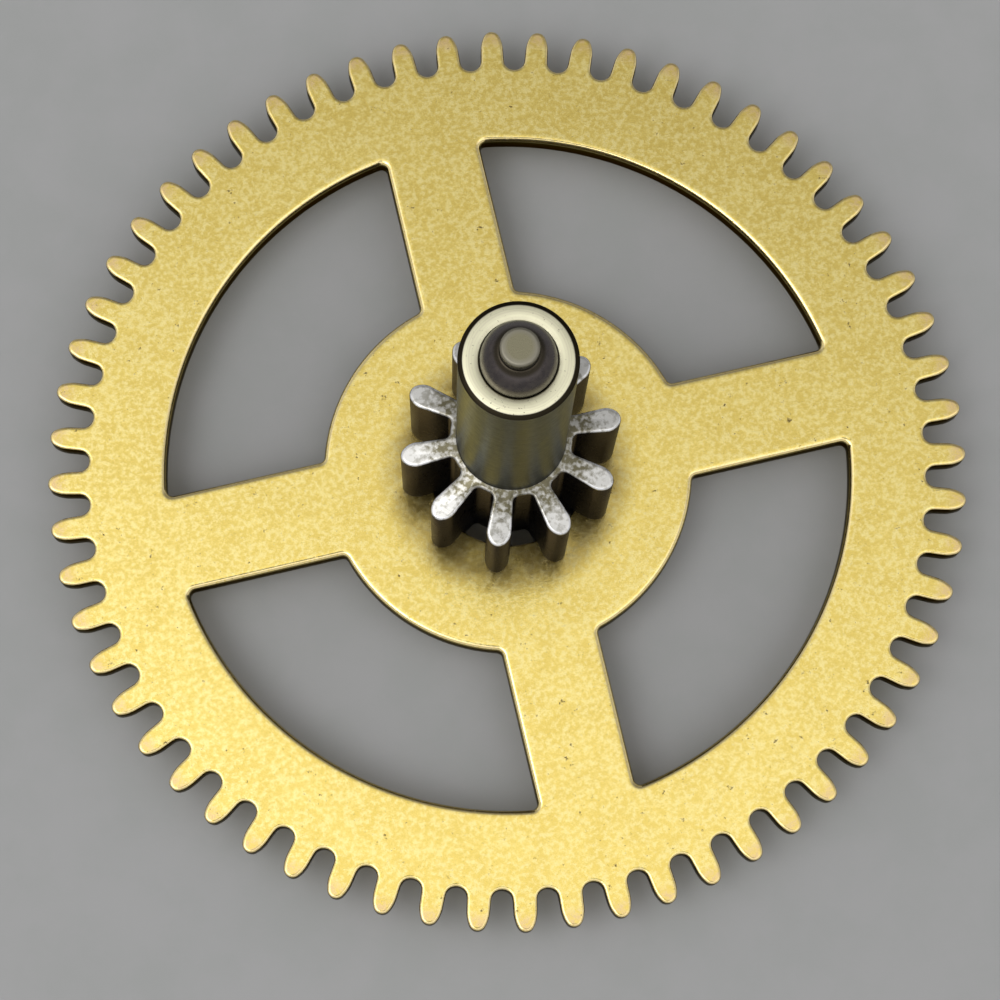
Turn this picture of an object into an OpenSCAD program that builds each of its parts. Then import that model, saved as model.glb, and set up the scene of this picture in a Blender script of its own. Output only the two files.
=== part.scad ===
// Second wheel of a clock: a brass wheel riveted to a steel leaf pinion, on an arbor with a pivot at each end.
// Millimetres. The arbor stands along +Z, and z = 0 is the shoulder of the lower pivot.
// Two of the wheel's spokes lie along X and two along Y.

/* [Wheel] */
// Number of teeth round the wheel
wheel_teeth = 60; // [48:4:72]
// Module of the wheel: pitch diameter over number of teeth
wheel_module = 0.6; // [0.55:0.01:0.7]
// Share of the tooth spacing that a tooth fills at the pitch circle
tooth_share = 0.5; // [0.45:0.005:0.52]
// Height of a tooth above the pitch circle
tooth_addendum = 0.84; // [0.7:0.01:0.9]
// Depth of a tooth space below the pitch circle
tooth_dedendum = 0.85; // [0.6:0.01:1]
// Radius of a tooth's rounded tip
tooth_tip_round = 0.36; // [0.15:0.01:0.38]
// Width of a tooth at its root, as a share of its width at the pitch circle
tooth_flare = 1.03; // [0.95:0.01:1.05]
// Radius in the bottom corners of a tooth space, at most half of the space
tooth_root_round = 0.4; // [0.2:0.01:0.4]
// Turn of the teeth against the spokes, in degrees
tooth_turn = 0.9; // [-3:0.1:3]
// Thickness of the brass plate
plate_t = 1; // [0.8:0.05:1.5]
// Width of the rim between the tooth spaces and the windows
rim_w = 3.15; // [2.5:0.1:5]
// Diameter of the solid disc round the pinion
hub_d = 15.1; // [12:0.1:17]
// Number of spokes
spokes = 4; // [3:1:6]
// Width of a spoke
spoke_w = 4; // [2.5:0.1:5]
// Radius in the corners of the windows
window_round = 0.25; // [0.2:0.05:0.8]

/* [Pinion] */
// Number of leaves on the pinion
leaves = 10; // [8:1:10]
// Pitch diameter of the pinion
leaf_pitch_d = 7.6; // [7.4:0.05:8]
// Width of a leaf at the pitch circle
leaf_w = 0.98; // [0.8:0.01:1.05]
// Width of a leaf where it leaves the core
leaf_root_w = 0.8; // [0.6:0.01:0.9]
// Height of a leaf above the pitch circle
leaf_addendum = 0.6; // [0.5:0.01:0.7]
// Radius of a leaf's rounded tip
leaf_tip_round = 0.42; // [0.3:0.01:0.45]
// Diameter of the core between the leaves
leaf_core_d = 4.8; // [4.6:0.05:5.2]
// Radius in the bottom corners between two leaves
leaf_root_round = 0.2; // [0.1:0.01:0.25]
// Turn of the leaves against the spokes, in degrees
leaf_turn = -2.5; // [-18:0.1:18]
// Length of the leaves above the wheel
leaf_l = 6.3; // [4:0.1:9]
// How much lower a leaf's end face is at its tip than at the core
leaf_end_drop = 0.3; // [0.1:0.05:0.8]
// Diameter of the plain sleeve above the leaves
sleeve_d = 4.3; // [3.8:0.05:4.5]
// Length of the plain sleeve
sleeve_l = 12.4; // [4:0.1:20]
// Bevel round the end face of the sleeve
sleeve_bevel = 0.19; // [0.05:0.01:0.25]
// Diameter of the turned seat that passes through the wheel
seat_d = 6.4; // [5.6:0.1:6.8]
// Diameter of the leaf ends riveted over the wheel's back
rivet_d = 7.4; // [7:0.1:8]
// Height of the riveted ends
rivet_h = 0.35; // [0.2:0.05:0.6]

/* [Arbor] */
// Diameter of the arbor in the pinion's bore
arbor_d = 2.75; // [2.2:0.05:3]
// Diameter of both pivots
pivot_d = 1.4; // [1.1:0.05:1.6]
// Length of the upper pivot
upper_pivot_l = 0.65; // [0.6:0.05:2.5]
// Length of the lower pivot
lower_pivot_l = 0.65; // [0.6:0.05:2.5]
// How far the arbor stands out of the sleeve, up to the upper pivot
upper_shoulder_h = 1.25; // [0.7:0.05:2]
// How far the arbor stands out below the rivet, down to the lower pivot
lower_shoulder_h = 0.45; // [0.45:0.05:2]
// Least width of the flat shoulder beside a pivot
shoulder_face = 0.08; // [0.04:0.02:0.12]
// Rounding of the pivots' ends
pivot_round = 0.15; // [0.05:0.01:0.2]

/* [Fits] */
// Radial gap drawn in the press fits of the wheel and the arbor
press_gap = 0.01; // [0.005:0.005:0.02]

/* [Hidden] */
// Sides of a full circle, and steps along each short arc
$fn = 96;
arc_steps = 4;
leaf_arc_steps = 7;
turned_arc_steps = 8;
window_arc_steps = 14;

wheel_pitch_r = wheel_teeth * wheel_module / 2;
tooth_half_w = tooth_share * 180 / wheel_teeth * wheel_pitch_r * PI / 180;
wheel_root_r = wheel_pitch_r - tooth_dedendum;
tooth_root_half_w = tooth_half_w * tooth_flare;
// Half of a tooth space at its root, less a sliver that keeps the two corner arcs apart
root_gap_half_w = wheel_root_r * PI / wheel_teeth - tooth_root_half_w - 0.005;
tooth_root_r = min(tooth_root_round, root_gap_half_w);
window_r = wheel_root_r - rim_w;

leaf_pitch_r = leaf_pitch_d / 2;
leaf_dedendum = leaf_pitch_r - leaf_core_d / 2;
leaf_tip_r = leaf_pitch_r + leaf_addendum;

// Heights along the arbor
pinion_z = lower_shoulder_h;
wheel_z = pinion_z + rivet_h;
leaf_z = wheel_z + plate_t;
sleeve_z = leaf_z + leaf_l;
sleeve_end_z = sleeve_z + sleeve_l;
upper_pivot_z = sleeve_end_z + upper_shoulder_h;
// How far a cut runs past the faces that it goes through
cut_over = 1;

// Points along an arc about c, from angle a0 to angle a1
function arc(c, r, a0, a1, n) = [for (i = [0:n]) c + r * [cos(a0 + (a1 - a0) * i / n), sin(a0 + (a1 - a0) * i / n)]];

// A list of points in the opposite order
function backwards(list) = [for (i = [len(list) - 1:-1:0]) list[i]];

// The mirror image of a point in a line through the origin at angle a
function mirrored(p, a) = [p.x * cos(2 * a) + p.y * sin(2 * a), p.x * sin(2 * a) - p.y * cos(2 * a)];

// Radius of the curved upper flank that is tangent to the straight flank and to the rounded tip
function flank_r(half_w, addendum, tip_r) =
    let (tip_y = addendum - tip_r) (pow(tip_y, 2) + pow(half_w, 2) - pow(tip_r, 2)) / (2 * (half_w - tip_r));

// One side of a tooth from the root to the tip: x across the tooth, y above the pitch circle
function tooth_side(half_w, root_half_w, addendum, dedendum, tip_r, root_r, n) =
    let (
        flank = flank_r(half_w, addendum, tip_r),
        turn = atan2(addendum - tip_r, flank - half_w)
    ) concat(
        arc([root_half_w + root_r, root_r - dedendum], root_r, 270, 180, n),
        arc([half_w - flank, 0], flank, 0, turn, n),
        [for (i = [1:n]) [0, addendum - tip_r] + tip_r * [cos(turn + (90 - turn) * i / n), sin(turn + (90 - turn) * i / n)]]
    );

// Bends a point of a tooth round the pitch circle
function bent(p, pitch_r, a) = (pitch_r + p.y) * [cos(a + p.x / (pitch_r + p.y) * 180 / PI), sin(a + p.x / (pitch_r + p.y) * 180 / PI)];

// The closed outline of a disc with teeth or leaves
function toothed_outline(count, pitch_r, side, turn) = [
    for (i = [0:count - 1], half = [0, 1]) each
        let (a = turn + i * 360 / count)
        half == 0
            ? [for (p = side) bent([-p.x, p.y], pitch_r, a)]
            : [for (p = backwards(side)) if (p.x > 0.001) bent(p, pitch_r, a)]
];

// One half of a window, from the middle of the hub's arc to the middle of the rim's arc, beside a spoke along X
function half_window() =
    let (
        r = window_round,
        y = spoke_w / 2 + r,
        hub = hub_d / 2,
        inner = [sqrt(pow(hub + r, 2) - pow(y, 2)), y],
        outer = [sqrt(pow(window_r - r, 2) - pow(y, 2)), y],
        inner_a = atan2(y, inner.x),
        outer_a = atan2(y, outer.x),
        middle = 180 / spokes
    ) concat(
        arc([0, 0], hub, middle, inner_a, window_arc_steps),
        arc(inner, r, inner_a + 180, 270, arc_steps),
        arc(outer, r, -90, outer_a, arc_steps),
        arc([0, 0], window_r, outer_a, middle, window_arc_steps)
    );

// Profile of a domed shoulder and its pivot, from the full arbor outwards: x is the radius, y the distance out
function arbor_end(shoulder_h, pivot_l) =
    let (
        r = arbor_d / 2,
        pivot_r = pivot_d / 2,
        end = shoulder_h + pivot_l,
        face_r = max(pivot_r + shoulder_face, r - shoulder_h),
        dome_w = r - face_r,
        dome_r = (pow(shoulder_h, 2) + pow(dome_w, 2)) / (2 * dome_w),
        turn = atan2(shoulder_h, dome_r - dome_w)
    ) concat(
        arc([r - dome_r, 0], dome_r, 0, turn, turned_arc_steps),
        [[pivot_r, shoulder_h]],
        arc([pivot_r - pivot_round, end - pivot_round], pivot_round, 0, 90, turned_arc_steps),
        [[0, end]]
    );

module tooth_profile() {
    side = tooth_side(tooth_half_w, tooth_root_half_w, tooth_addendum, tooth_dedendum,
        tooth_tip_round, tooth_root_r, arc_steps);
    polygon(toothed_outline(wheel_teeth, wheel_pitch_r, side, tooth_turn));
}

module leaf_profile() {
    side = tooth_side(leaf_w / 2, leaf_root_w / 2, leaf_addendum, leaf_dedendum,
        leaf_tip_round, leaf_root_round, leaf_arc_steps);
    polygon(toothed_outline(leaves, leaf_pitch_r, side, leaf_turn));
}

module window_profile() {
    half = half_window();
    other = [for (p = backwards(half)) mirrored(p, 180 / spokes)];
    polygon(concat(half, other));
}

module wheel_profile() {
    difference() {
        tooth_profile();
        for (i = [0:spokes - 1]) rotate(i * 360 / spokes) window_profile();
        circle(d = seat_d + 2 * press_gap);
    }
}

module wheel() {
    color([0.86, 0.74, 0.4])
        translate([0, 0, wheel_z])
            linear_extrude(plate_t) wheel_profile();
}

// The turned shape that the leaves are cut back to: rivet, seat in the wheel, full leaves with sloping ends
module leaf_envelope() {
    top = sleeve_z - pinion_z;
    face = leaf_z - pinion_z;
    inner_r = sleeve_d / 4;
    outer_r = leaf_tip_r + cut_over;
    slope = leaf_end_drop / (leaf_tip_r - sleeve_d / 2);
    rotate_extrude()
        polygon([
            [0, 0],
            [rivet_d / 2 - rivet_h / 2, 0],
            [rivet_d / 2, rivet_h / 2],
            [rivet_d / 2, rivet_h],
            [seat_d / 2, rivet_h],
            [seat_d / 2, face],
            [outer_r, face],
            [outer_r, top - slope * (outer_r - sleeve_d / 2)],
            [inner_r, top + slope * (sleeve_d / 2 - inner_r)],
            [0, top + slope * (sleeve_d / 2 - inner_r)]
        ]);
}

module sleeve() {
    start_z = (leaf_z + sleeve_z) / 2;
    r = sleeve_d / 2;
    rotate_extrude()
        polygon([
            [0, start_z],
            [r, start_z],
            [r, sleeve_end_z - sleeve_bevel],
            [r - sleeve_bevel, sleeve_end_z],
            [0, sleeve_end_z]
        ]);
}

module leaf_pinion() {
    color([0.42, 0.42, 0.38])
        difference() {
            union() {
                translate([0, 0, pinion_z])
                    intersection() {
                        linear_extrude(sleeve_end_z - pinion_z) leaf_profile();
                        leaf_envelope();
                    }
                sleeve();
            }
            translate([0, 0, pinion_z - cut_over])
                cylinder(h = sleeve_end_z - pinion_z + 2 * cut_over, d = arbor_d + 2 * press_gap);
        }
}

module arbor() {
    upper = arbor_end(upper_shoulder_h, upper_pivot_l);
    lower = arbor_end(lower_shoulder_h, lower_pivot_l);
    color([0.3, 0.29, 0.3])
        rotate_extrude()
            polygon(concat(
                [for (p = backwards(lower)) [p.x, pinion_z - p.y]],
                [for (p = upper) [p.x, sleeve_end_z + p.y]]
            ));
}

wheel();
leaf_pinion();
arbor();
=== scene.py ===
# %% [markdown]
# # A clock's second wheel
# The object is a brass gear wheel riveted to a steel pinion, which is pressed on a steel arbor.
# Its sizes were settled in CAD first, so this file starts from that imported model, called the frame.
# The CAD meshes could be shown as they are, but they have no rounded edges to catch the light.
# So each visible piece below takes the place of one CAD node, with a finer mesh in the same place.

# %% Load the frame
import math

import bmesh
import bpy
import numpy as np
from mathutils import Matrix, Vector


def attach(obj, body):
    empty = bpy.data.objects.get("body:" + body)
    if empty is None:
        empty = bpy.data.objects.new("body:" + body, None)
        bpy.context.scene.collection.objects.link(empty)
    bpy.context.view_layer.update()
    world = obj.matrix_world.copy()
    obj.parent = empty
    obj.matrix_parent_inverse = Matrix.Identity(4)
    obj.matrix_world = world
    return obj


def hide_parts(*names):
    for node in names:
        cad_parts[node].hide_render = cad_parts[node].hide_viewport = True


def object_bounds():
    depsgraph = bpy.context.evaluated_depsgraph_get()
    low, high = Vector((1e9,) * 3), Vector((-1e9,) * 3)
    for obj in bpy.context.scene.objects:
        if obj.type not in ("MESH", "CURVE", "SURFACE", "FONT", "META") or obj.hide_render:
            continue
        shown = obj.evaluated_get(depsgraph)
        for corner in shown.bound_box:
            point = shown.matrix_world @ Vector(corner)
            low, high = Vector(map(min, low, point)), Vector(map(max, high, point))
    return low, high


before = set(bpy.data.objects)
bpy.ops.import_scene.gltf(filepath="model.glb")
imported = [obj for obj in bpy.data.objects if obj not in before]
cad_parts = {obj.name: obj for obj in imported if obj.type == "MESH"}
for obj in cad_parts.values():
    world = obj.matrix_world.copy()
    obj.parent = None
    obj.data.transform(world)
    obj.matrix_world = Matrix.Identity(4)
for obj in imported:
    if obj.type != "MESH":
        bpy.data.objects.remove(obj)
cad_box = [list(corner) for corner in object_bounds()]
scene = bpy.context.scene
MM = 0.001  # sizes are written in millimetres, and this turns them into metres where they are used
print("CAD nodes:", sorted(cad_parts))

# %% [markdown]
# ## The camera
# The photograph looks down on the wheel from a steep angle with a long lens.
# The viewpoint was found by fitting the sixty tooth tips, so its numbers aren't round ones.
# A camera could be aimed by a constraint, but a small roll is easier to set.
# So the camera is written as the turns of a tripod head: round the wheel, up, a small roll,
# and two small turns that aim it beside the wheel's centre.

# %% Set up the camera
WHEEL_TOP = 1.8  # height of the wheel's upper face
CAMERA_ROUND = -18.67  # degrees round the wheel, from looking along +Y
CAMERA_UP = 78.26  # degrees above the wheel's face
CAMERA_ROLL = 5.49
CAMERA_PITCH = -0.6005
CAMERA_YAW = 0.1585
CAMERA_DISTANCE = 123.64  # from the middle of the wheel's upper face
CAMERA_LENS = 108.64
SENSOR_WIDTH = 36

turn_round = Matrix.Rotation(math.radians(CAMERA_ROUND), 4, "Z")
look_down = Matrix.Rotation(math.radians(90 - CAMERA_UP), 4, "X")
stand = turn_round @ look_down @ Vector((0, 0, CAMERA_DISTANCE)) + Vector((0, 0, WHEEL_TOP))
aim = (
    Matrix.Rotation(math.radians(CAMERA_ROLL), 4, "Z")
    @ Matrix.Rotation(math.radians(CAMERA_YAW), 4, "Y")
    @ Matrix.Rotation(math.radians(CAMERA_PITCH), 4, "X")
)
camera = bpy.data.objects.new("camera", bpy.data.cameras.new("camera"))
camera.data.lens = CAMERA_LENS
camera.data.sensor_width = SENSOR_WIDTH
camera.data.clip_start = 0.001  # metres
camera.data.clip_end = 100
camera.matrix_world = Matrix.Translation(stand * MM) @ turn_round @ look_down @ aim
scene.collection.objects.link(camera)
scene.camera = camera
print("camera stands at", [round(v, 1) for v in stand], "mm")

# %% [markdown]
# ## Outlines
# A gear tooth is drawn flat first. Its flank runs straight towards the axis below the pitch circle,
# bulges in an arc above it, and ends in a small round tip. It could be traced point by point,
# but arcs from a few sizes stay smooth at any count of points. The teeth and the leaves share
# this one recipe, and a flat list of points is easier to check than a mesh.

# %% Draw arcs and one period of a toothed outline
def arc(centre, radius, start, end, steps):
    """Points along an arc, from the angle start to the angle end in degrees."""
    angles = np.radians(np.linspace(start, end, steps + 1))
    return np.array(centre) + radius * np.stack([np.cos(angles), np.sin(angles)], 1)


def tooth_side(half, root_half, addendum, dedendum, tip_round, root_round, steps):
    """One side of a tooth from root to tip: x across it, y above the pitch circle."""
    rise = addendum - tip_round
    flank = (rise**2 + half**2 - tip_round**2) / (2 * (half - tip_round))
    turn = math.degrees(math.atan2(rise, flank - half))
    root = arc((root_half + root_round, root_round - dedendum), root_round, 270, 180, steps)
    side = arc((half - flank, 0), flank, 0, turn, steps)
    tip = arc((0, rise), tip_round, turn, 90, steps)[1:]
    return np.concatenate([root, side, tip])


def one_period(side, pitch_radius, count):
    """The outline from the middle of one gap to the middle of the next, as x and y points."""
    half_pitch = math.pi / count
    radius = np.concatenate([side[:1, 1], side[:, 1], side[-2::-1, 1], side[:1, 1]]) + pitch_radius
    across = np.concatenate([-side[:, 0], side[-2::-1, 0]]) / radius[1:-1]
    angle = np.concatenate([[-half_pitch], across, [half_pitch]])
    return np.stack([radius * np.cos(angle), radius * np.sin(angle)], 1)


def turned_by(points, angle):
    """Flat points turned about the origin by an angle in radians."""
    c, s = math.cos(angle), math.sin(angle)
    return points @ np.array([[c, s], [-s, c]])


print("a quarter arc of radius 1 ends at", arc((0, 0), 1, 0, 90, 4)[-1].round(3))

# %% [markdown]
# ## Rounded edges
# No real edge is perfectly sharp: a thin rounded line along every rim is what catches the light.
# A Bevel modifier could round the edges, but it stumbles where small arcs meet closely.
# Here an outline is moved inwards in small steps while it rises, and that makes the rounding.
# One more loop further in keeps the flat face's shading flat.

# %% Move an outline inwards and list the steps of a rounded edge
MITRE = 0.5  # a point at a corner moves at most 1 / MITRE times as far as its sides


def inset(points, distance, period=None):
    """The outline moved to its left by distance. period is a sector's angle, or None for a closed loop."""
    before = points[-1:] if period is None else turned_by(points[-2:-1], -period)
    after = points[:1] if period is None else turned_by(points[1:2], period)
    line = np.concatenate([before, points, after])
    along = np.diff(line, axis=0)
    along /= np.linalg.norm(along, axis=1)[:, None]
    left = np.stack([-along[:, 1], along[:, 0]], 1)
    middle = left[:-1] + left[1:]
    middle /= np.linalg.norm(middle, axis=1)[:, None]
    stretch = 1 / np.maximum(MITRE, (middle * left[1:]).sum(1))
    return points + middle * (distance * stretch)[:, None]


def edge_steps(rounding, support, steps=4):
    """(distance in, distance down from the face) from the wall to the flat face."""
    turns = np.radians(np.linspace(0, 90, steps + 1))
    round_part = [(rounding * (1 - math.cos(t)), rounding * (1 - math.sin(t))) for t in turns]
    return round_part + [(rounding + support, 0)]


print("a rounding of 0.1 mm goes through", np.round(edge_steps(0.1, 0.05), 3).tolist())

# %% [markdown]
# ## From loops to a mesh
# Each solid is a stack of loops joined by four-sided faces, and closed by a cap at each end.
# The same shape could be extruded by hand, but a stack says where every loop of vertices lies.
# The vertices also carry a number called edge: 1 on the rounding and 0 elsewhere.
# The materials read it to polish the edges that wear bright, with a painted highlight on them, and to
# paint a dark reflection on the sleeve's bevel.

# %% Join loops into a mesh
class Shell:
    """Vertices, their edge value and faces, collected loop by loop."""

    def __init__(self):
        self.points, self.edge, self.edges, self.faces = [], [], [], []

    def loop(self, flat, height, edge=0.0):
        """Adds a loop of flat points at a height, which is one number or one for each point."""
        first = len(self.points)
        heights = np.broadcast_to(height, len(flat))
        self.points += [(x, y, z) for (x, y), z in zip(flat, heights)]
        self.edge += [edge] * len(flat)
        return list(range(first, first + len(flat)))

    def skin(self, loops, closed=False):
        """Four-sided faces between each loop and the next, which have the same length."""
        for low, high in zip(loops, loops[1:]):
            ends = len(low) if closed else len(low) - 1
            for i in range(ends):
                j = (i + 1) % len(low)
                self.faces.append((low[i], low[j], high[j], high[i]))

    def mesh(self, name):
        """The shell as a Blender mesh in metres."""
        made = bpy.data.meshes.new(name)
        made.from_pydata([(x * MM, y * MM, z * MM) for x, y, z in self.points], self.edges, self.faces)
        made.attributes.new("edge", "FLOAT", "POINT").data.foreach_set("value", self.edge)
        print(name, "drawn:", len(made.vertices), "vertices")
        return made


def piece_from(mesh, name):
    """A linked object that shows the mesh."""
    piece = bpy.data.objects.new(name, mesh)
    scene.collection.objects.link(piece)
    return piece


# %% [markdown]
# ## Adding nodes
# Node trees can be drawn by hand in the editor. In a script every node takes a few lines,
# so one helper makes a node, sets it up and links it in a single call.

# %% Add a node in one call
def add(tree, kind, sockets=None, **settings):
    """A new node with its settings, and its inputs set to values or linked from sockets."""
    node = tree.nodes.new(kind)
    for name, value in settings.items():
        setattr(node, name, value)
    for name, value in (sockets or {}).items():
        if isinstance(value, bpy.types.NodeSocket):
            tree.links.new(value, node.inputs[name])
        else:
            node.inputs[name].default_value = value
    return node


# %% [markdown]
# ## A modifier that repeats a sector
# Sixty teeth and ten leaves are the same sector again and again. An Array modifier could copy it,
# but it can't wear one tooth more than another, so a Geometry Nodes tree does the work.
# It sets a copy on each of a number of points and turns it, then merges the seams.
# A random value for each copy shortens the tips a little, because real teeth never wear alike.

# %% Build the repeating node tree
SEAM = 0.001  # vertices of two sectors that are closer than this are merged


def repeating_tree(name, material):
    """A tree that copies its mesh round the Z axis, wears the tips and returns one mesh."""
    tree = bpy.data.node_groups.new(name, "GeometryNodeTree")
    sockets = tree.interface
    sockets.new_socket("Geometry", in_out="INPUT", socket_type="NodeSocketGeometry")
    for label, kind in [
        ("Copies", "Int"), ("Turn", "Float"), ("Wear", "Float"),
        ("Wear From", "Float"), ("Wear To", "Float"), ("Seed", "Int"),
    ]:
        sockets.new_socket(label, in_out="INPUT", socket_type="NodeSocket" + kind)
    sockets.new_socket("Geometry", in_out="OUTPUT", socket_type="NodeSocketGeometry")
    given = tree.nodes.new("NodeGroupInput").outputs

    points = add(tree, "GeometryNodePoints", {"Count": given["Copies"]})
    index = add(tree, "GeometryNodeInputIndex")
    step = add(tree, "ShaderNodeMath", {0: 2 * math.pi, 1: given["Copies"]}, operation="DIVIDE")
    angle = add(
        tree, "ShaderNodeMath",
        {0: index.outputs[0], 1: step.outputs[0], 2: given["Turn"]}, operation="MULTIPLY_ADD",
    )
    turn = add(tree, "ShaderNodeCombineXYZ", {"Z": angle.outputs[0]})
    copies = add(
        tree, "GeometryNodeInstanceOnPoints",
        {"Points": points.outputs[0], "Instance": given["Geometry"], "Rotation": turn.outputs[0]},
    )
    chance = add(tree, "FunctionNodeRandomValue", {"Seed": given["Seed"]}, data_type="FLOAT")
    stored = add(
        tree, "GeometryNodeStoreNamedAttribute",
        {"Geometry": copies.outputs[0], "Name": "chance", "Value": chance.outputs[1]},
        data_type="FLOAT", domain="INSTANCE",
    )
    real = add(tree, "GeometryNodeRealizeInstances", {"Geometry": stored.outputs[0]})
    merged = add(
        tree, "GeometryNodeMergeByDistance", {"Geometry": real.outputs[0], "Distance": SEAM * MM}
    )

    place = add(tree, "GeometryNodeInputPosition")
    flat = add(tree, "ShaderNodeVectorMath", {0: place.outputs[0], 1: (1, 1, 0)}, operation="MULTIPLY")
    reach = add(tree, "ShaderNodeVectorMath", {0: flat.outputs[0]}, operation="LENGTH")
    outwards = add(tree, "ShaderNodeVectorMath", {0: flat.outputs[0]}, operation="NORMALIZE")
    near_tip = add(
        tree, "ShaderNodeMapRange",
        {"Value": reach.outputs["Value"], "From Min": given["Wear From"], "From Max": given["Wear To"]},
    )
    drawn = add(tree, "GeometryNodeInputNamedAttribute", {"Name": "chance"}, data_type="FLOAT")
    shorter = add(
        tree, "ShaderNodeMath", {0: drawn.outputs[0], 1: near_tip.outputs[0]}, operation="MULTIPLY"
    )
    depth = add(
        tree, "ShaderNodeMath", {0: shorter.outputs[0], 1: given["Wear"]}, operation="MULTIPLY"
    )
    inwards = add(tree, "ShaderNodeMath", {0: depth.outputs[0], 1: -1.0}, operation="MULTIPLY")
    move = add(
        tree, "ShaderNodeVectorMath",
        {0: outwards.outputs[0], "Scale": inwards.outputs[0]}, operation="SCALE",
    )
    worn = add(
        tree, "GeometryNodeSetPosition", {"Geometry": merged.outputs[0], "Offset": move.outputs[0]}
    )
    dressed = add(
        tree, "GeometryNodeSetMaterial", {"Geometry": worn.outputs[0], "Material": material}
    )
    result = tree.nodes.new("NodeGroupOutput")
    tree.links.new(dressed.outputs[0], result.inputs[0])
    return tree


# %% [markdown]
# ## From the modifier to a plain mesh
# The tree could stay live on the object, but a plain mesh can be joined to its neighbours.
# So the modifier's result is copied into a mesh of its own, and the object that carried it goes.

# %% Repeat a sector
def repeated(mesh, material, values):
    """The mesh repeated by the tree, as a plain mesh. values gives the tree's inputs by name."""
    source = piece_from(mesh, mesh.name + "_source")
    tree = repeating_tree(mesh.name + "_repeat", material)
    modifier = source.modifiers.new("repeat", "NODES")
    modifier.node_group = tree
    for item in tree.interface.items_tree:
        if item.in_out == "INPUT" and item.name in values:
            modifier[item.identifier] = values[item.name]
    bpy.context.view_layer.update()
    graph = bpy.context.evaluated_depsgraph_get()
    made = bpy.data.meshes.new_from_object(source.evaluated_get(graph))
    bpy.data.objects.remove(source)
    print(mesh.name, "repeated:", len(made.vertices), "vertices")
    return made


# %% [markdown]
# ## Node helpers for the finishes
# The patterns are read from the object's own coordinates, scaled so that one unit is a millimetre.
# A noise scale then means the same thing on every piece: about so many features per millimetre.
# An image could be wrapped round the pieces instead, but it would stretch on the teeth.
# A noise lies mostly between 0.3 and 0.7, so the masks below cut it somewhere between these two.

# %% Start a material and read places on the piece
def new_finish(name):
    """An empty material with a Principled shader, its tree, and the place in millimetres."""
    material = bpy.data.materials.new(name)
    material.use_nodes = True
    tree = material.node_tree
    tree.nodes.clear()
    shader = add(tree, "ShaderNodeBsdfPrincipled")
    output = add(tree, "ShaderNodeOutputMaterial")
    tree.links.new(shader.outputs[0], output.inputs[0])
    coordinates = add(tree, "ShaderNodeTexCoord")
    place = add(
        tree, "ShaderNodeVectorMath",
        {0: coordinates.outputs["Object"], "Scale": 1 / MM}, operation="SCALE",
    )
    return material, tree, shader, place.outputs[0]


def math_of(tree, operation, a, b=0.0):
    """One arithmetic step."""
    return add(tree, "ShaderNodeMath", {0: a, 1: b}, operation=operation).outputs[0]


def mapped(tree, value, low, high, to_low=0.0, to_high=1.0, curve="SMOOTHSTEP"):
    """value moved from the range low..high to another and clamped, smoothly unless curve is LINEAR."""
    return add(
        tree, "ShaderNodeMapRange",
        {"Value": value, "From Min": low, "From Max": high, "To Min": to_low, "To Max": to_high},
        interpolation_type=curve,
    ).outputs[0]


def noise(tree, place, scale, detail=4.0, roughness=0.6, distortion=0.0):
    """A noise value from 0 to 1."""
    return add(
        tree, "ShaderNodeTexNoise",
        {"Vector": place, "Scale": scale, "Detail": detail, "Roughness": roughness,
         "Distortion": distortion},
    ).outputs[0]


def streaks(tree, distance, scale, detail):
    """A noise from 0 to 1 that changes along one distance only, as a turning tool's marks do."""
    return add(
        tree, "ShaderNodeTexNoise",
        {"W": math_of(tree, "MULTIPLY", distance, scale), "Scale": 1.0, "Detail": detail},
        noise_dimensions="1D",
    ).outputs[0]


def blended(tree, factor, first, second):
    """Two colours mixed by a factor."""
    node = add(tree, "ShaderNodeMix", {0: factor, 6: first, 7: second}, data_type="RGBA")
    return node.outputs[2]


def bump(tree, height, strength, distance):
    """A surface normal disturbed by a height, distance in millimetres."""
    return add(
        tree, "ShaderNodeBump",
        {"Height": height, "Strength": strength, "Distance": distance * MM},
    ).outputs[0]


def height_of(tree, vector):
    """The Z value of a place or a direction."""
    return add(tree, "ShaderNodeSeparateXYZ", {0: vector}).outputs["Z"]


def from_axis(tree, place):
    """The distance from the arbor's axis, in millimetres."""
    flat = add(tree, "ShaderNodeVectorMath", {0: place, 1: (1, 1, 0)}, operation="MULTIPLY")
    return add(tree, "ShaderNodeVectorMath", {0: flat.outputs[0]}, operation="LENGTH").outputs["Value"]


def facing_up(tree):
    """How far the surface faces up or down: 1 on the flat faces and 0 on the walls."""
    normal = add(tree, "ShaderNodeNewGeometry").outputs["True Normal"]
    return math_of(tree, "ABSOLUTE", height_of(tree, normal))


def edge_value(tree):
    """The number that the loops left on the vertices: 1 on a rounded edge."""
    return add(tree, "ShaderNodeAttribute", attribute_name="edge").outputs["Fac"]
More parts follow.
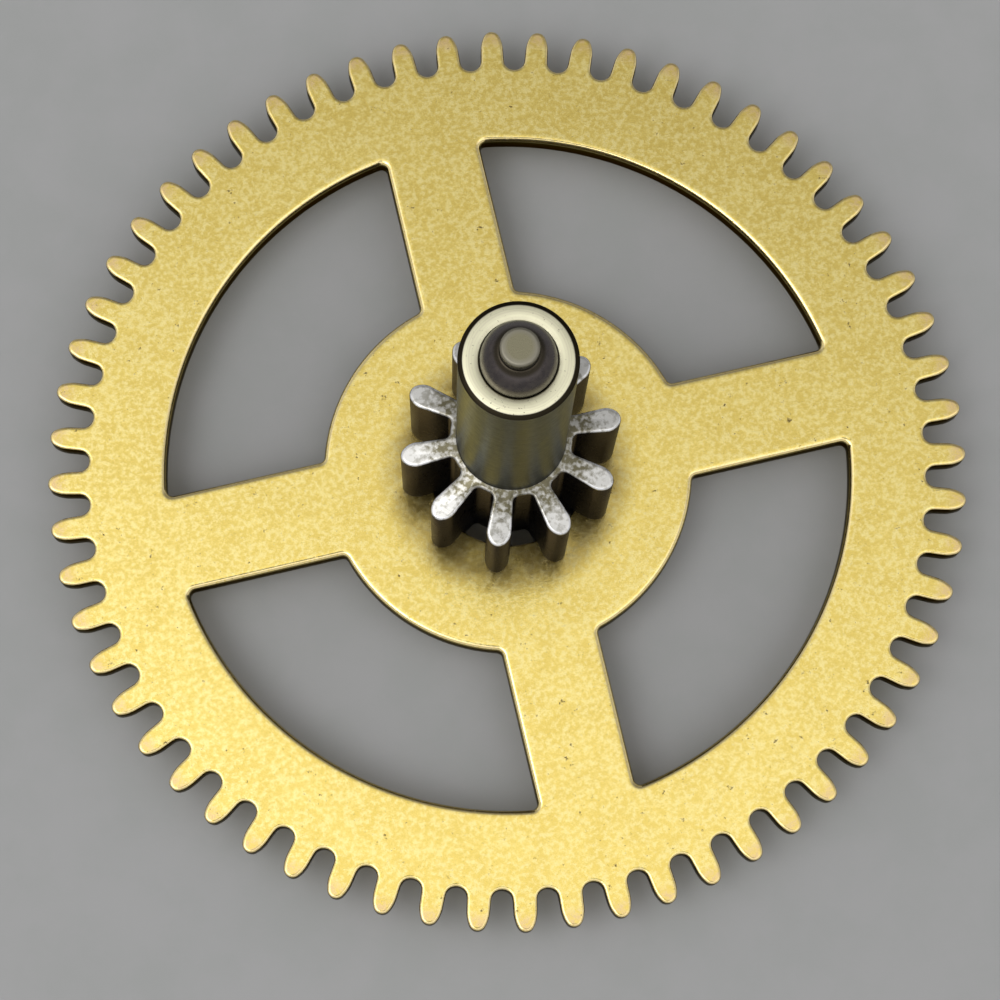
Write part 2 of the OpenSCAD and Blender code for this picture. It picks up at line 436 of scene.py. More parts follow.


# %% [markdown]
# ## The brass finish
# The plate is stamped from sheet brass: pale yellow and mottled, with fine dark specks and pits.
# Its edges are burnished and carry a cream painted highlight, and its cut walls carry painted shade in
# dark brown. The tooth tips are worn pinkish, and painted shade with a painted dark reflection darkens the
# brass round the pinion's foot.
# One flat colour would look like plastic. So each of these is a mask that mixes one more colour
# over the last, which lets every layer be changed by itself.

# %% Make the brass
BRASS = (0.88, 0.69, 0.20, 1)
BRASS_DEEP = (0.76, 0.57, 0.135, 1)
BRASS_PALE = (0.97, 0.83, 0.36, 1)
# painted shade: the walls and the steep part of each rounding are coloured dark brown
BRASS_WALL_SHADE = (0.12, 0.10, 0.05, 1)
BRASS_TIP = (0.80, 0.58, 0.28, 1)
# dark brown of the specks and pits, and of the painted shade round the pinion's foot
SPECK_AND_SHADE = (0.20, 0.14, 0.05, 1)
# burnished brass, paler and creamier than the plate, so that it also serves as a painted highlight on the
# edges
BURNISHED_HIGHLIGHT = (0.95, 0.78, 0.40, 1)
FULL_GLANCE = (1, 1, 1, 1)  # how much of the shine at a flat glance is left: all of it
WALL_SHADE_GLANCE = (0.28, 0.25, 0.18, 1)
PATCH_SCALE = 0.9
GRAIN_SCALE = 4.6
FINE_SCALE = 14.0
PIT_SCALE = 2.6
SPECK_SCALE = 6.5
FOOT_SHADE_REACH = (5.6, 4.1)  # radii: the painted shade begins at the first and is darkest inside the second
TIP_REACH = (17.9, 18.6)  # radii between which the teeth turn pinkish

brass, tree, shader, place = new_finish("stamped brass")
reach = from_axis(tree, place)
up = facing_up(tree)
patches = noise(tree, place, PATCH_SCALE, 5, 0.6, 0.4)
grain = noise(tree, place, GRAIN_SCALE, 5, 0.78)
fine = noise(tree, place, FINE_SCALE, 3, 0.6)
colour = blended(tree, mapped(tree, patches, 0.35, 0.65, to_high=0.5), BRASS, BRASS_DEEP)
colour = blended(tree, mapped(tree, grain, 0.5, 0.4, to_high=0.5), colour, BRASS_DEEP)
colour = blended(tree, mapped(tree, grain, 0.46, 0.6, to_high=0.75), colour, BRASS_PALE)

pits = mapped(tree, noise(tree, place, PIT_SCALE, 6, 0.7), 0.36, 0.29)
specks = mapped(tree, noise(tree, place, SPECK_SCALE, 4, 0.7), 0.35, 0.27, to_high=0.5)
marks = math_of(tree, "MAXIMUM", pits, specks)
colour = blended(tree, marks, colour, SPECK_AND_SHADE)
# painted shade and a painted dark reflection of the leaves on the brass round the pinion's foot
foot_shade = mapped(tree, reach, *FOOT_SHADE_REACH, to_high=0.75)
foot_shade = math_of(tree, "MULTIPLY", foot_shade, mapped(tree, patches, 0.3, 0.6, to_low=0.6))
colour = blended(tree, foot_shade, colour, SPECK_AND_SHADE)
tip = math_of(tree, "MULTIPLY", mapped(tree, reach, *TIP_REACH), mapped(tree, grain, 0.35, 0.6))
colour = blended(tree, tip, colour, BRASS_TIP)
# painted shade: where the face turns into a wall it goes dark brown and keeps less of its glancing shine
wall = mapped(tree, up, 0.75, 0.2)
colour = blended(tree, wall, colour, BRASS_WALL_SHADE)
# burnished edges with a painted highlight: the upward part of each rounding is made paler and cream
burnish_and_highlight = math_of(tree, "MULTIPLY", edge_value(tree), mapped(tree, fine, 0.3, 0.55))
burnish_and_highlight = math_of(tree, "MULTIPLY", burnish_and_highlight, mapped(tree, up, 0.25, 0.8))
colour = blended(tree, burnish_and_highlight, colour, BURNISHED_HIGHLIGHT)
tree.links.new(colour, shader.inputs["Base Color"])
tree.links.new(blended(tree, wall, FULL_GLANCE, WALL_SHADE_GLANCE), shader.inputs["Specular Tint"])
shader.inputs["Metallic"].default_value = 1.0

rough = mapped(tree, grain, 0.3, 0.7, 0.17, 0.26)
rough = math_of(tree, "ADD", rough, math_of(tree, "MULTIPLY", marks, 0.25))
rough = math_of(tree, "SUBTRACT", rough, math_of(tree, "MULTIPLY", burnish_and_highlight, 0.12))
tree.links.new(rough, shader.inputs["Roughness"])
relief = math_of(tree, "ADD", grain, math_of(tree, "MULTIPLY", fine, 0.4))
relief = math_of(tree, "SUBTRACT", relief, marks)
tree.links.new(bump(tree, relief, strength=0.2, distance=0.015), shader.inputs["Normal"])
print("brass finish:", len(tree.nodes), "nodes")

# %% [markdown]
# ## The pinion's steel
# The flanks of the leaves have gone dark, and their ends are worn bright in patches.
# The sleeve is a mid grey with fine turning marks, and its end is pale inside a bevel with a painted dark
# reflection.
# These could be four materials, but one bar of steel would then show hard borders between them.
# So one material asks where it is: how far from the axis, how high, and which way the face looks.

# %% Make the pinion's steel
LEAF_FLANK = (0.12, 0.113, 0.11, 1)
LEAF_END = (0.66, 0.65, 0.62, 1)
LEAF_END_DULL = (0.15, 0.135, 0.085, 1)
# worn steel edge, near white as a painted highlight
LEAF_EDGE_HIGHLIGHT = (0.95, 0.95, 0.97, 1)
FLANK_GLANCE = (0.28, 0.28, 0.31, 1)
SLEEVE_SIDE = (0.31, 0.31, 0.285, 1)
SLEEVE_TURNED = (0.23, 0.225, 0.20, 1)
SLEEVE_GLANCE = (0.30, 0.32, 0.32, 1)
# painted dark reflection for the sleeve's bevel
SLEEVE_BEVEL_SHADE = (0.025, 0.02, 0.012, 1)
BEVEL_GLANCE = (0.2, 0.2, 0.2, 1)
SLEEVE_END = (0.90, 0.87, 0.62, 1)
SLEEVE_END_DULL = (0.75, 0.69, 0.52, 1)
SLEEVE_RADIUS = 2.15
SLEEVE_TOP = 20.5
SLEEVE_SKIN = (SLEEVE_RADIUS + 0.12, SLEEVE_RADIUS + 0.02)  # radii where leaf turns into sleeve
END_ZONE = (SLEEVE_TOP - 0.17, SLEEVE_TOP - 0.12)  # heights where the sleeve's end begins
DULL_REACH = (4.1, 2.6)  # radii: the leaf ends are duller towards the sleeve
WORN_REACH = (2.8, 3.8)  # radii: the worn edges of the leaf ends get more painted highlight towards the tips
STEEL_GRAIN_SCALE = 3.5
STEEL_FINE_SCALE = 16.0
WORN_SPOT_SCALE = 4.5
DOT_SCALE = 9.0
TOOL_MARK_SCALE = 8.0
RING_SCALE = 14.0

pinion_steel, tree, shader, place = new_finish("cut pinion steel")
reach = from_axis(tree, place)
height = height_of(tree, place)
up = facing_up(tree)
edge = edge_value(tree)
on_face = mapped(tree, up, 0.3, 0.8)
on_sleeve = mapped(tree, reach, *SLEEVE_SKIN)
at_top = mapped(tree, height, *END_ZONE)
bevel = math_of(tree, "MULTIPLY", edge, at_top)
grain = noise(tree, place, STEEL_GRAIN_SCALE, 5, 0.65)
fine = noise(tree, place, STEEL_FINE_SCALE, 3, 0.6)

tool_marks = mapped(tree, streaks(tree, height, TOOL_MARK_SCALE, 4.0), 0.35, 0.65)
sleeve_side = blended(tree, tool_marks, SLEEVE_SIDE, SLEEVE_TURNED)
side = blended(tree, on_sleeve, LEAF_FLANK, sleeve_side)
side = blended(tree, mapped(tree, grain, 0.35, 0.7, to_high=0.25), side, LEAF_FLANK)

worn_spots = mapped(tree, noise(tree, place, WORN_SPOT_SCALE, 3, 0.55), 0.32, 0.68, to_high=0.9)
dull = math_of(tree, "SUBTRACT", mapped(tree, reach, *DULL_REACH, 0.4, 1.3), worn_spots)
leaf_end = blended(tree, math_of(tree, "MAXIMUM", dull, 0.0), LEAF_END, LEAF_END_DULL)
rings = streaks(tree, reach, RING_SCALE, 3.0)
faced_end = blended(tree, mapped(tree, rings, 0.4, 0.65, to_high=0.5), SLEEVE_END, SLEEVE_END_DULL)
dots = mapped(tree, noise(tree, place, DOT_SCALE, 3, 0.6), 0.36, 0.3, to_high=0.7)
faced_end = blended(tree, dots, faced_end, LEAF_END_DULL)
flat_end = blended(tree, at_top, leaf_end, faced_end)

colour = blended(tree, on_face, side, flat_end)
# worn edges of the leaf ends with a painted highlight, strongest on the upward part of the rounding
worn = math_of(tree, "MULTIPLY", edge, mapped(tree, up, 0.2, 0.7))
worn = math_of(tree, "MULTIPLY", worn, mapped(tree, reach, *WORN_REACH, to_low=0.2))
worn = math_of(tree, "MULTIPLY", worn, mapped(tree, grain, 0.35, 0.55))
colour = blended(tree, worn, colour, LEAF_EDGE_HIGHLIGHT)
# painted dark reflection: the sleeve's bevel is coloured near black here, and its glancing shine is cut
# down below
colour = blended(tree, bevel, colour, SLEEVE_BEVEL_SHADE)
tree.links.new(colour, shader.inputs["Base Color"])
glance = blended(tree, on_sleeve, FLANK_GLANCE, SLEEVE_GLANCE)
glance = blended(tree, on_face, glance, FULL_GLANCE)
glance = blended(tree, bevel, glance, BEVEL_GLANCE)
tree.links.new(glance, shader.inputs["Specular Tint"])
shader.inputs["Metallic"].default_value = 1.0

rough = mapped(tree, grain, 0.3, 0.7, 0.26, 0.36)
rough = math_of(tree, "ADD", rough, math_of(tree, "MULTIPLY", on_sleeve, 0.04))
tree.links.new(rough, shader.inputs["Roughness"])
relief = math_of(tree, "ADD", math_of(tree, "MULTIPLY", fine, 0.2), rings)
tree.links.new(bump(tree, relief, strength=0.12, distance=0.01), shader.inputs["Normal"])
print("pinion finish:", len(tree.nodes), "nodes")

# %% [markdown]
# ## The arbor's steel
# The arbor is harder and darker than the pinion. It is darker still where the dome leaves
# the sleeve and over the whole lower end, with painted shade on the upper pivot's side, and the ends of
# the pivots are rubbed paler.
# Paint could be put on by hand, but heights along the bar are enough to tell these places apart.

# %% Make the arbor's steel
ARBOR_DARK = (0.10, 0.088, 0.09, 1)
ARBOR_WARM = (0.15, 0.128, 0.118, 1)
# darkest tone, for the foot of the dome, the lower end and the painted shade on the upper pivot's side
ARBOR_DARKEST = (0.05, 0.042, 0.03, 1)
PIVOT_END = (0.27, 0.25, 0.165, 1)
PIVOT_EDGE = (0.30, 0.28, 0.22, 1)
PIVOT_FOOT = 21.75  # height where the upper pivot leaves its shoulder; the lower one's is 0
RUBBED_FROM, RUBBED_TO = 0.5, 0.58  # distances from a pivot's foot towards its end
ARBOR_GRAIN_SCALE = 4.0
ARBOR_FINE_SCALE = 20.0

arbor_steel, tree, shader, place = new_finish("hardened arbor steel")
height = height_of(tree, place)
edge = edge_value(tree)
grain = noise(tree, place, ARBOR_GRAIN_SCALE, 5, 0.65)
fine = noise(tree, place, ARBOR_FINE_SCALE, 3, 0.6)
colour = blended(tree, mapped(tree, grain, 0.3, 0.7, 0.2, 0.8), ARBOR_DARK, ARBOR_WARM)
# darker from the dome down to the sleeve and over the whole length below it
darker_to_sleeve = mapped(tree, height, PIVOT_FOOT - 0.5, SLEEVE_TOP)
# painted shade on the shoulder's face and the upper pivot's side
pivot_side_shade = mapped(tree, height, PIVOT_FOOT - 0.2, PIVOT_FOOT - 0.05)
colour = blended(tree, math_of(tree, "MAXIMUM", darker_to_sleeve, pivot_side_shade), colour, ARBOR_DARKEST)
upper_end = mapped(tree, height, PIVOT_FOOT + RUBBED_FROM, PIVOT_FOOT + RUBBED_TO)
lower_end = mapped(tree, height, -RUBBED_FROM, -RUBBED_TO)
colour = blended(tree, math_of(tree, "MAXIMUM", upper_end, lower_end), colour, PIVOT_END)
colour = blended(tree, edge, colour, PIVOT_EDGE)
tree.links.new(colour, shader.inputs["Base Color"])
shader.inputs["Metallic"].default_value = 1.0
rough = mapped(tree, grain, 0.3, 0.7, 0.22, 0.36)
rough = math_of(tree, "ADD", rough, math_of(tree, "MULTIPLY", edge, 0.2))
tree.links.new(rough, shader.inputs["Roughness"])
tree.links.new(bump(tree, fine, strength=0.15, distance=0.01), shader.inputs["Normal"])
print("arbor finish:", len(tree.nodes), "nodes")

# %% [markdown]
# ## The ring of teeth
# The teeth are cut into the rim of the stamped plate. All sixty could be drawn in one outline,
# but one sector with one tooth and its share of the rim is quicker to draw and to check.
# Its stack of loops runs from the lower face, round the lower edge, up the wall and round
# the upper edge, and the tree then makes sixty of it.

# %% Build one tooth and repeat it
TEETH = 60
TOOTH_TURN = 0.9  # degrees between a tooth and a spoke
PITCH_RADIUS = 18.0
TOOTH_HALF = 0.5 * math.pi / TEETH * PITCH_RADIUS
ROOT_HALF = 1.03 * TOOTH_HALF
WHEEL_LOW = 0.8  # height of the wheel's lower face
RIM_MIDDLE = 15.8  # the teeth's sectors end here and the spoked plate begins
TOOTH_EDGE = edge_steps(rounding=0.11, support=0.05)

side = tooth_side(
    TOOTH_HALF, ROOT_HALF, addendum=0.84, dedendum=0.85, tip_round=0.36, root_round=0.4, steps=5
)
outline = one_period(side, PITCH_RADIUS, TEETH)
seam = arc((0, 0), RIM_MIDDLE, -180 / TEETH, 180 / TEETH, 4)


def walls(shell, flat, steps, period=None):
    """The loops of a wall between the wheel's faces, with a rounded edge below and above."""
    below = [(i, WHEEL_LOW + d, 1.0 * (d > 0)) for i, d in steps[::-1]]
    above = [(i, WHEEL_TOP - d, 1.0 * (d > 0)) for i, d in steps]
    return [shell.loop(inset(flat, i, period), z, edge) for i, z, edge in below + above]


sector = Shell()
loops = walls(sector, outline, TOOTH_EDGE, period=2 * math.pi / TEETH)
sector.skin(loops)
for rim_loop, z in [(loops[0], WHEEL_LOW), (loops[-1], WHEEL_TOP)]:
    sector.faces.append(rim_loop + sector.loop(seam, z)[::-1])

toothed_rim = repeated(
    sector.mesh("tooth"), brass,
    {"Copies": TEETH, "Turn": math.radians(TOOTH_TURN), "Wear": 0.03 * MM,
     "Wear From": 18.1 * MM, "Wear To": 18.8 * MM, "Seed": 7},
)

# %% [markdown]
# ## The spoked plate
# Inside the teeth the plate is flat with four windows. Each window's outline is two big arcs
# and two spoke sides, with a small arc in every corner. Boolean cuts would leave long thin faces
# that shade badly, so the windows are walls of loops, as the teeth are. The flat faces between
# the outlines are filled by a constrained triangulation, which respects any number of holes.

# %% Draw a window and fill the plate
SPOKES = 4
SPOKE_HALF = 2.0
HUB_RADIUS = 7.55
WINDOW_RADIUS = 14.0
CORNER = 0.25
WHEEL_BORE = 3.21
WINDOW_EDGE = edge_steps(rounding=0.21, support=0.1, steps=6)
BORE_EDGE = edge_steps(rounding=0.03, support=0.05)
SAME_HEIGHT = 0.0001  # a vertex this close to a face's height lies on it


def window_outline():
    """One window between the spokes along X and Y, as a closed loop with the metal on its left."""
    y = SPOKE_HALF + CORNER
    low_x = math.sqrt((HUB_RADIUS + CORNER) ** 2 - y**2)
    high_x = math.sqrt((WINDOW_RADIUS - CORNER) ** 2 - y**2)
    low_a = math.degrees(math.atan2(y, low_x))
    high_a = math.degrees(math.atan2(y, high_x))
    half = np.concatenate([
        arc((0, 0), HUB_RADIUS, 45, low_a, 24)[:-1],
        arc((low_x, y), CORNER, low_a + 180, 270, 6),
        arc((high_x, y), CORNER, -90, high_a, 6)[:-1],
        arc((0, 0), WINDOW_RADIUS, high_a, 45, 40),
    ])
    mirrored = half[-2:0:-1, ::-1]
    return np.concatenate([half, mirrored])[::-1]


def filled(mesh, heights):
    """The mesh with its open loops at each height joined by triangles, holes left open."""
    work = bmesh.new()
    work.from_mesh(mesh)
    for z in heights:
        open_edges = [
            e for e in work.edges
            if not e.is_manifold and all(abs(v.co.z - z * MM) < SAME_HEIGHT * MM for v in e.verts)
        ]
        bmesh.ops.triangle_fill(work, use_beauty=True, edges=open_edges, normal=(0, 0, 1))
    work.to_mesh(mesh)
    work.free()
    return mesh


plate = Shell()
for k in range(SPOKES):
    window = turned_by(window_outline(), k * math.pi / 2)
    plate.skin(walls(plate, window, WINDOW_EDGE), closed=True)
bore = arc((0, 0), WHEEL_BORE, 360, 0, 96)[:-1]
plate.skin(walls(plate, bore, BORE_EDGE), closed=True)

whole_seam = arc((0, 0), RIM_MIDDLE, -180 / TEETH, 360 - 180 / TEETH, 4 * TEETH)[:-1]
whole_seam = turned_by(whole_seam, math.radians(TOOTH_TURN))
for z in (WHEEL_LOW, WHEEL_TOP):
    ring = plate.loop(whole_seam, z)
    plate.edges += list(zip(ring, ring[1:] + ring[:1]))
spoked_plate = filled(plate.mesh("plate"), (WHEEL_LOW, WHEEL_TOP))
print("spoked plate:", len(spoked_plate.polygons), "faces")

# %% [markdown]
# ## Closing a piece
# The parts of one piece could stay side by side in one mesh, but then the shading would break
# at the seam and the solid would not be closed. So their shared vertices are merged and the faces
# are turned to point outwards. Angles over 40 degrees stay crisp, and the rest shade smoothly.
# Each piece then rides on the frame, takes the place of its CAD node and gets its material in its one
# slot.

# %% Merge, turn the faces outwards and dress the pieces
SAME_PLACE = 0.0005  # vertices of one piece that are closer than this are merged
CRISP = 40  # degrees


def closed_piece(name, meshes, material, node):
    """One finished piece from several meshes, riding on the frame in place of a CAD node."""
    work = bmesh.new()
    for mesh in meshes:
        work.from_mesh(mesh)
    bmesh.ops.remove_doubles(work, verts=work.verts, dist=SAME_PLACE * MM)
    bmesh.ops.recalc_face_normals(work, faces=work.faces)
    open_edges = sum(1 for e in work.edges if not e.is_manifold)
    made = bpy.data.meshes.new(name)
    work.to_mesh(made)
    work.free()
    made.materials.clear()
    made.materials.append(material)
    made.shade_smooth()
    made.set_sharp_from_angle(angle=math.radians(CRISP))
    piece = piece_from(made, name)
    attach(piece, "root")
    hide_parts(node)
    print(name, len(made.polygons), "faces,", open_edges, "open edges")


closed_piece("brass_wheel", [toothed_rim, spoked_plate], brass, "wheel")

# %% [markdown]
# ## The pinion's leaves
# The pinion is cut from one bar: ten leaves, a plain sleeve above them, and below them a seat
# for the wheel, whose ends are riveted over. Separate solids could be stacked, but on the real
# pinion the leaves run on through the wheel. So one sector of 36 degrees does too,
# and where a turning tool has cut the leaves back, the outline is held inside a circle.

# %% Build one leaf from the rivet to its upper end
LEAVES = 10
LEAF_PITCH = 3.8
LEAF_TIP = 4.4
LEAF_CORE = 2.4
LEAF_TOP = 8.1
LEAF_DROP = 0.3  # how much lower the end is at the tip than at the sleeve
RIVET_LOW = 0.45
RIVET_RADIUS = 3.7
SEAT_RADIUS = 3.2  # of the leaves inside the wheel's bore
FACE_GAP = 0.005  # keeps the steel clear of the brass faces that it touches
RIVET_EDGE = edge_steps(rounding=0.15, support=0.15)
LEAF_END_EDGE = edge_steps(rounding=0.11, support=0.05)

side = tooth_side(
    half=0.49, root_half=0.4, addendum=LEAF_TIP - LEAF_PITCH, dedendum=LEAF_PITCH - LEAF_CORE,
    tip_round=0.42, root_round=0.2, steps=6,
)
outline = one_period(side, LEAF_PITCH, LEAVES)
leaf_period = 2 * math.pi / LEAVES


def held_inside(points, radius):
    """Points beyond a radius moved in to it."""
    reach = np.linalg.norm(points, axis=1)
    return points * np.minimum(1, radius / reach)[:, None]


def end_height(points):
    """The sloping end face of the leaves, which falls towards their tips."""
    reach = np.linalg.norm(points, axis=1)
    return LEAF_TOP - LEAF_DROP * (reach - SLEEVE_RADIUS) / (LEAF_TIP - SLEEVE_RADIUS)


sector = Shell()
loops = []
for i, d in RIVET_EDGE[::-1]:
    flat = held_inside(inset(outline, i, leaf_period), RIVET_RADIUS - i)
    loops.append(sector.loop(flat, RIVET_LOW + d))
loops.append(sector.loop(held_inside(outline, RIVET_RADIUS), WHEEL_LOW - FACE_GAP))
loops.append(sector.loop(held_inside(outline, SEAT_RADIUS), WHEEL_LOW - FACE_GAP))
loops.append(sector.loop(held_inside(outline, SEAT_RADIUS), WHEEL_TOP + FACE_GAP))
loops.append(sector.loop(outline, WHEEL_TOP + FACE_GAP))
for i, d in LEAF_END_EDGE:
    flat = inset(outline, i, leaf_period)
    loops.append(sector.loop(flat, end_height(flat) - d, 1.0 * (d > 0)))
sector.skin(loops)
print("one leaf:", len(loops), "loops")

# %% [markdown]
# ## The sleeve and the bore
# The sleeve and the bore are turned, so their profile is all that has to be drawn. They could be
# a tube of their own, but the leaves grow out of the same bar. So the sector carries a tenth
# of each ring, and the same tree makes ten of the whole sector and closes it.

# %% Turn the sleeve and repeat the sector
LEAF_TURN = -2.5  # degrees between a leaf and a spoke
BORE = 1.385
SLEEVE_BEVEL = 0.16
BEVEL_DROP = 0.10
BEVEL_FOOT = SLEEVE_TOP - BEVEL_DROP
BEVEL_INSIDE = SLEEVE_RADIUS - SLEEVE_BEVEL

sleeve_profile = [
    # radius, height and edge value: first a small round between the leaves and the sleeve
    (SLEEVE_RADIUS + 0.05, LEAF_TOP - 0.006, 0),
    (SLEEVE_RADIUS + 0.015, LEAF_TOP + 0.015, 0),
    (SLEEVE_RADIUS, LEAF_TOP + 0.06, 0),
    (SLEEVE_RADIUS, LEAF_TOP + 0.1, 0),
    # the bevel, below which two loops keep the long side's shading straight
    (SLEEVE_RADIUS, BEVEL_FOOT - 0.08, 0),
    (SLEEVE_RADIUS, BEVEL_FOOT - 0.03, 0),
    (SLEEVE_RADIUS - 0.01, BEVEL_FOOT, 1),
    (BEVEL_INSIDE, SLEEVE_TOP - 0.008, 1),
    # the faced end, the broken edge of the bore and the bore itself
    (BEVEL_INSIDE - 0.03, SLEEVE_TOP, 0),
    (BORE + 0.06, SLEEVE_TOP, 0),
    (BORE + 0.03, SLEEVE_TOP - 0.01, 0),
    (BORE, SLEEVE_TOP - 0.05, 0),
    (BORE, RIVET_LOW, 0),
]
half_turn = 180 / LEAVES
rings = [sector.loop(arc((0, 0), r, -half_turn, half_turn, 10), z, e) for r, z, e in sleeve_profile]
sector.skin(rings)
sector.faces.append(loops[-1] + rings[0][::-1])
sector.faces.append(loops[0] + rings[-1][::-1])

leaves = repeated(
    sector.mesh("leaf"), pinion_steel,
    {"Copies": LEAVES, "Turn": math.radians(LEAF_TURN), "Wear": 0.04 * MM,
     "Wear From": 3.6 * MM, "Wear To": 4.4 * MM, "Seed": 3},
)
closed_piece("steel_pinion", [leaves], pinion_steel, "leaf_pinion")

# %% [markdown]
# ## The arbor
# The arbor is a turned bar: a pivot, a rounded shoulder, the plain length in the bore,
# and the same again on top. A Screw modifier could spin its profile. Rings of points round
# the axis do the same, and each ring can carry its edge value.

# %% Turn the arbor
ARBOR_RADIUS = 1.375
UPPER_SHOULDER = 1.25
LOWER_SHOULDER = 0.45
SHOULDER_FACE = 0.08  # least width of the flat ring between the dome and the pivot
PIVOT_RADIUS = 0.7
PIVOT_LENGTH = 0.65
PIVOT_ROUND = 0.12
WORN_DEPTH = 0.1  # how far down from the pivot's end its rounding counts as an edge
FLAT_SHARE = 0.7  # share of the pivot's radius that is surely flat end
ROUND_STEPS = 10
ARBOR_SIDES = 96


def arbor_end(shoulder):
    """Radius and distance outwards, from the full bar over its dome to the middle of the pivot's end."""
    end = shoulder + PIVOT_LENGTH
    width = ARBOR_RADIUS - max(PIVOT_RADIUS + SHOULDER_FACE, ARBOR_RADIUS - shoulder)
    dome = (shoulder**2 + width**2) / (2 * width)
    turn = math.degrees(math.atan2(shoulder, dome - width))
    fillet = [
        (PIVOT_RADIUS + 0.05, shoulder),
        (PIVOT_RADIUS + 0.015, shoulder + 0.015),
        (PIVOT_RADIUS, shoulder + 0.05),
    ]
    return np.concatenate([
        arc((ARBOR_RADIUS - dome, 0), dome, 0, turn, ROUND_STEPS),
        fillet,
        arc((PIVOT_RADIUS - PIVOT_ROUND, end - PIVOT_ROUND), PIVOT_ROUND, 0, 90, ROUND_STEPS),
        [(PIVOT_RADIUS * 0.6, end), (PIVOT_RADIUS * 0.3, end)],
    ])


def on_pivot_round(radius, out, end):
    """1 on the rounded edge of a pivot's end, and 0 elsewhere."""
    return 1.0 * (out > end - WORN_DEPTH and radius > PIVOT_RADIUS * FLAT_SHARE)


upper = arbor_end(UPPER_SHOULDER)
lower = arbor_end(LOWER_SHOULDER)
profile = [(r, RIVET_LOW - out, on_pivot_round(r, out, lower[-1][1])) for r, out in lower[::-1]]
profile += [(r, SLEEVE_TOP + out, on_pivot_round(r, out, upper[-1][1])) for r, out in upper]
bar = Shell()
rings = [bar.loop(arc((0, 0), r, 0, 360, ARBOR_SIDES)[:-1], z, e) for r, z, e in profile]
bar.skin(rings, closed=True)
for ring, z in [(rings[0], profile[0][1]), (rings[-1], profile[-1][1])]:
    (pole,) = bar.loop(np.zeros((1, 2)), z)
    bar.faces += [(ring[i], ring[(i + 1) % ARBOR_SIDES], pole) for i in range(ARBOR_SIDES)]
closed_piece("steel_arbor", [bar.mesh("bar")], arbor_steel, "arbor")

# %% [markdown]
# ## The floor
# The wheel lies on grey paper. A plain grey would do, but real paper is a little uneven,
# so a soft noise moves it between two close tints. The sheet is wide enough to fill every view.

# %% Lay the floor
PAPER = (0.39, 0.395, 0.39, 1)
PAPER_PALE = (0.41, 0.41, 0.41, 1)
FIBRE_SCALE = 0.35
FLOOR_HALF = 3  # metres
FLOOR_GAP = 0.01  # between the lower pivot's end and the paper

floor_z = cad_box[0][2] - FLOOR_GAP * MM
corners = [(x * FLOOR_HALF, y * FLOOR_HALF, floor_z) for x, y in [(-1, -1), (1, -1), (1, 1), (-1, 1)]]
floor_mesh = bpy.data.meshes.new("floor")
floor_mesh.from_pydata(corners, [], [(0, 1, 2, 3)])
floor = piece_from(floor_mesh, "floor")
paper, tree, shader, place = new_finish("grey paper")
fibres = noise(tree, place, FIBRE_SCALE, 4, 0.6)
tint = blended(tree, mapped(tree, fibres, 0.3, 0.7), PAPER, PAPER_PALE)
tree.links.new(tint, shader.inputs["Base Color"])
shader.inputs["Roughness"].default_value = 0.9
shader.inputs["Specular IOR Level"].default_value = 0.1
floor_mesh.materials.append(paper)
print("floor lies at", round(floor_z / MM, 2), "mm")

# %% [markdown]
# ## The room that the metal shows
# Metal shows what it reflects, so the room matters more than the lamp's power. A picture of a room
# could be wrapped round the world, but a few smooth ramps over the direction do it without one.
# The ceiling glows on the window's side and is dim on the far side. It fades towards the walls,
# which are darkest on the far side, and a paler band lies just above the horizon.
# A dark spot stands where the camera hides the ceiling, and it keeps the middle of the sleeve dark.

# %% Light the room
WINDOW_ANGLE = 261  # degrees round the wheel from the right of the picture
CEILING_GLOW = 1.42
FAR_GLOW = 0.4
WALL_GLOW = 1.4 * FAR_GLOW
FAR_WALL_SHARE = 0.35
BAND_GLOW = 0.8
BAND_FOOT_GLOW = 0.4
FAR_BAND_SHARE = 0.5
HIDDEN_SHARE = 0.15  # of the light that is left where the camera hides the ceiling
HIDDEN_SPOT = (0.972, 0.995)  # cosines of about 14 and 6 degrees from the camera
# lean is 1 towards the window, 0 overhead and -1 on the far side; height is 1 overhead
CEILING_EDGE = (-0.38, -0.03)  # lean where the ceiling changes from dim to bright
FAR_WALL = (-0.8, -0.4)  # lean where the far wall ends
FAR_BAND = (-0.9, -0.4)  # lean where the dim part of the band ends
CEILING_RISE = (0.55, 0.96)  # heights where the walls turn into the ceiling
BAND_FOOT = (0.0, 0.15)
BAND_TOP = (0.5, 0.25)


def pointing(tree, direction, axis):
    """How far a direction points along a fixed axis: 1 the same way, 0 across and -1 the other way."""
    return add(
        tree, "ShaderNodeVectorMath", {0: direction, 1: axis}, operation="DOT_PRODUCT"
    ).outputs["Value"]


world = bpy.data.worlds.new("studio")
world.use_nodes = True
tree = world.node_tree
sky = tree.nodes["Background"]
sky.inputs["Color"].default_value = (1, 1, 1, 1)
towards = add(tree, "ShaderNodeTexCoord").outputs["Generated"]
height = height_of(tree, towards)
window_turn = math.radians(CAMERA_ROUND + WINDOW_ANGLE)
lean = pointing(tree, towards, (math.cos(window_turn), math.sin(window_turn), 0))
camera_side = turn_round @ look_down @ Vector((0, 0, 1))
facing = pointing(tree, towards, camera_side)

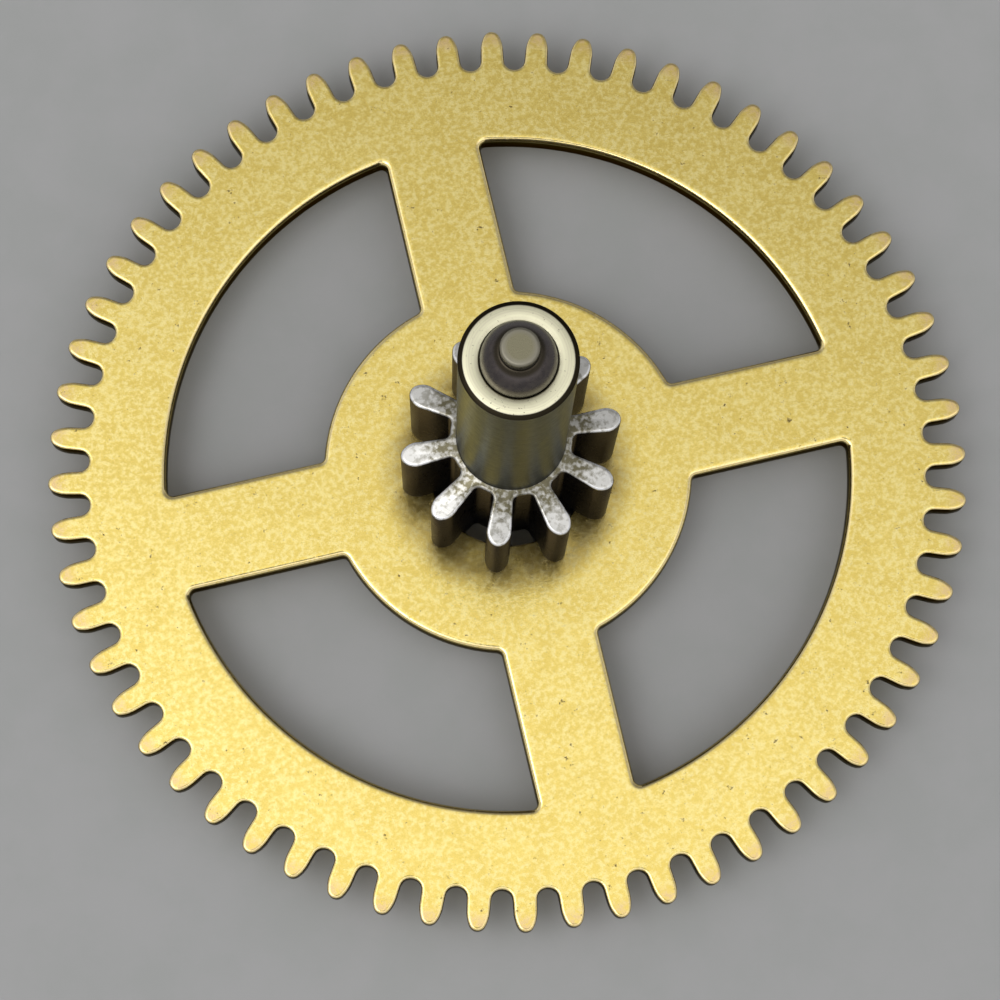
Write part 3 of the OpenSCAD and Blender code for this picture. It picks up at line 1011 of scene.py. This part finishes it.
ceiling = mapped(tree, lean, *CEILING_EDGE, FAR_GLOW, CEILING_GLOW, "LINEAR")
rise = mapped(tree, height, *CEILING_RISE)
glow = mapped(tree, rise, 0.0, 1.0, WALL_GLOW, ceiling, "LINEAR")
far_side = mapped(tree, lean, *FAR_WALL, to_low=FAR_WALL_SHARE)
hidden = mapped(tree, facing, *HIDDEN_SPOT, to_low=1.0, to_high=HIDDEN_SHARE)
glow = math_of(tree, "MULTIPLY", glow, math_of(tree, "MULTIPLY", far_side, hidden))
band = mapped(tree, height, *BAND_FOOT, BAND_FOOT_GLOW, BAND_GLOW)
band = math_of(tree, "MULTIPLY", band, mapped(tree, height, *BAND_TOP))
band = math_of(tree, "MULTIPLY", band, mapped(tree, lean, *FAR_BAND, to_low=FAR_BAND_SHARE))
tree.links.new(math_of(tree, "MAXIMUM", glow, band), sky.inputs["Strength"])
scene.world = world
print("world:", len(tree.nodes), "nodes")

# %% [markdown]
# ## The lamp
# One soft square lamp stands for the window's own light. A sun lamp would give hard shadows,
# while a large square near the wheel gives the soft shadow under the rim.

# %% Hang the lamp
LAMP_ANGLE = 215  # degrees round the wheel from the right of the picture
LAMP_TILT = 28  # degrees from overhead
LAMP_DISTANCE = 0.30  # metres
LAMP_SIZE = 0.16  # metres
LAMP_POWER = 0.14  # watts

lamp = bpy.data.lights.new("window light", "AREA")
lamp.shape = "SQUARE"
lamp.size = LAMP_SIZE
lamp.energy = LAMP_POWER
light = bpy.data.objects.new("window light", lamp)
light.matrix_world = (
    Matrix.Rotation(math.radians(CAMERA_ROUND + LAMP_ANGLE), 4, "Z")
    @ Matrix.Rotation(math.radians(LAMP_TILT), 4, "Y")
    @ Matrix.Translation((0, 0, LAMP_DISTANCE))
)
scene.collection.objects.link(light)
scene.view_settings.view_transform = "Standard"
print("lamp hangs at", [round(v, 3) for v in light.matrix_world.translation], "m")

# %% [markdown]
# ## Sizes
# The visual model has to stay inside the box of the CAD model. The box of the CAD model is
# written down in millimetres, since a look would miss a hundredth of a millimetre.

# %% Write down the CAD box and finish
print("CAD box   ", [[round(v * 1000, 2) for v in c] for c in cad_box])
